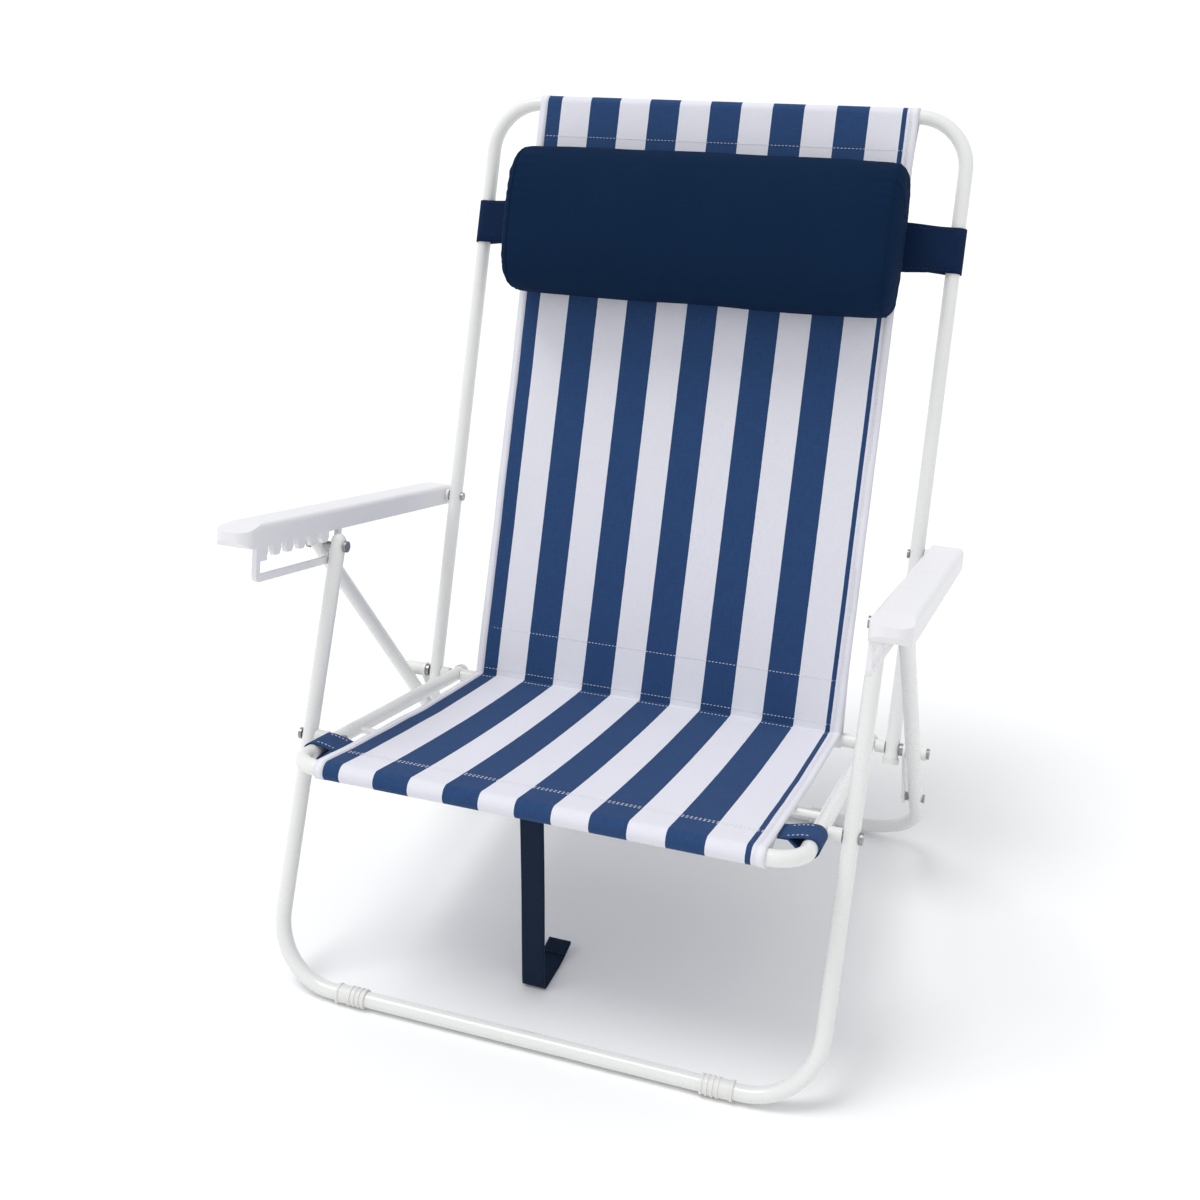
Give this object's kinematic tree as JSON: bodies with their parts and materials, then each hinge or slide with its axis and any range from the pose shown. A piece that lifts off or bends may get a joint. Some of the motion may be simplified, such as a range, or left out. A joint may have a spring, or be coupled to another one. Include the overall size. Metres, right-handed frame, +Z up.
{
  "type": "folding beach chair",
  "caption": "Low folding beach chair: bent tube legs, striped sling seat and back, strapped head pillow, and slotted plastic arms that set how far the back leans.",
  "frame": {"origin": "on the floor, under the middle of the chair's outline", "axes": "+Z up; the chair faces -Y; +X is on the right of someone facing the chair, which is the sitter's left. left and right in names are as seen by someone facing the chair, so left is -X"},
  "size_m": [0.664, 0.6433, 0.857],
  "materials": {
    "frame_steel": "gloss",
    "small_plastic": "satin",
    "arm_plastic": "satin",
    "bolt_steel": "satin",
    "sling_fabric": "matte",
    "band_fabric": "matte",
    "pillow_fabric": "matte",
    "webbing": "matte"
  },
  "bodies": {
    "seat": {"seat_frame": "frame_steel", "seat_cross_rod": "frame_steel", "seat_pivot_bolts": "bolt_steel", "seat_pivot_spacers": "small_plastic", "rail_end_caps": "small_plastic", "seat_fabric": "sling_fabric", "under_seat_band": "band_fabric", "closing_strap": "webbing"},
    "hinge_axle": {"rear_cross_tube": "frame_steel", "hinge_bolts": "bolt_steel", "hinge_spacers": "small_plastic", "hinge_washers": "bolt_steel", "stop_sleeves": "small_plastic"},
    "back": {"back_frame": "frame_steel", "back_end_caps": "small_plastic", "back_fabric": "sling_fabric", "head_pillow": "pillow_fabric", "pillow_strap": "webbing"},
    "front_legs": {"front_leg_frame": "frame_steel", "front_foot_sleeves": "small_plastic", "arm_bolts": "bolt_steel"},
    "rear_legs": {"rear_leg_frame": "frame_steel", "rear_foot_sleeves": "small_plastic", "link_stop_rivets": "bolt_steel"},
    "left_link": {"left_link": "frame_steel", "left_link_rivet": "bolt_steel"},
    "left_arm_rivet": {"left_arm_rivet": "bolt_steel", "left_arm_washer": "small_plastic"},
    "left_arm": {"left_arm": "arm_plastic"},
    "right_link": {"right_link": "frame_steel", "right_link_rivet": "bolt_steel"},
    "right_arm_rivet": {"right_arm_rivet": "bolt_steel", "right_arm_washer": "small_plastic"},
    "right_arm": {"right_arm": "arm_plastic"}
  },
  "joints": [
    {"name": "fold", "type": "hinge", "parent": "seat", "child": "front_legs", "pos_m": [0, -0.20987, 0.2427], "axis": [1, 0, 0], "range_deg": [0, 90]},
    {"name": "rear_leg_pivot", "type": "hinge", "parent": "front_legs", "child": "rear_legs", "pos_m": [0, -0.12967, 0.426], "axis": [1, 0, 0], "range_deg": [-59.5, 0]},
    {"name": "back_fold", "type": "hinge", "parent": "seat", "child": "hinge_axle", "pos_m": [0, 0.08283, 0.183], "axis": [1, 0, 0], "range_deg": [0, 87.4]},
    {"name": "recline", "type": "hinge", "parent": "hinge_axle", "child": "back", "pos_m": [0, 0.08283, 0.183], "axis": [-1, 0, 0], "range_deg": [0, 34]},
    {"name": "left_link_pivot", "type": "hinge", "parent": "seat", "child": "left_link", "pos_m": [-0.296, 0.08283, 0.183], "axis": [1, 0, 0], "range_deg": [-108.1, 0]},
    {"name": "left_arm_fold", "type": "hinge", "parent": "back", "child": "left_arm_rivet", "pos_m": [-0.3, 0.15413, 0.39007], "axis": [1, 0, 0], "range_deg": [-92.8, 0]},
    {"name": "left_arm_level", "type": "hinge", "parent": "left_arm_rivet", "child": "left_arm", "pos_m": [-0.3, 0.15413, 0.39007], "axis": [1, 0, 0], "range_deg": [0, 26.76]},
    {"name": "right_link_pivot", "type": "hinge", "parent": "seat", "child": "right_link", "pos_m": [0.296, 0.08283, 0.183], "axis": [1, 0, 0], "range_deg": [-108.1, 0]},
    {"name": "right_arm_fold", "type": "hinge", "parent": "back", "child": "right_arm_rivet", "pos_m": [0.3, 0.15413, 0.39007], "axis": [1, 0, 0], "range_deg": [-92.8, 0]},
    {"name": "right_arm_level", "type": "hinge", "parent": "right_arm_rivet", "child": "right_arm", "pos_m": [0.3, 0.15413, 0.39007], "axis": [1, 0, 0], "range_deg": [0, 26.76]}
  ],
  "couplings": [
    {"joint": "rear_leg_pivot", "follows": "fold", "ratio": -0.66},
    {"joint": "back_fold", "follows": "fold", "ratio": 0.97},
    {"joint": "left_link_pivot", "follows": "fold", "ratio": -1.2},
    {"joint": "left_arm_fold", "follows": "fold", "ratio": -1.03},
    {"joint": "left_arm_level", "follows": "recline", "ratio": 0.784},
    {"joint": "right_link_pivot", "follows": "fold", "ratio": -1.2},
    {"joint": "right_arm_fold", "follows": "fold", "ratio": -1.03},
    {"joint": "right_arm_level", "follows": "recline", "ratio": 0.784}
  ]
}
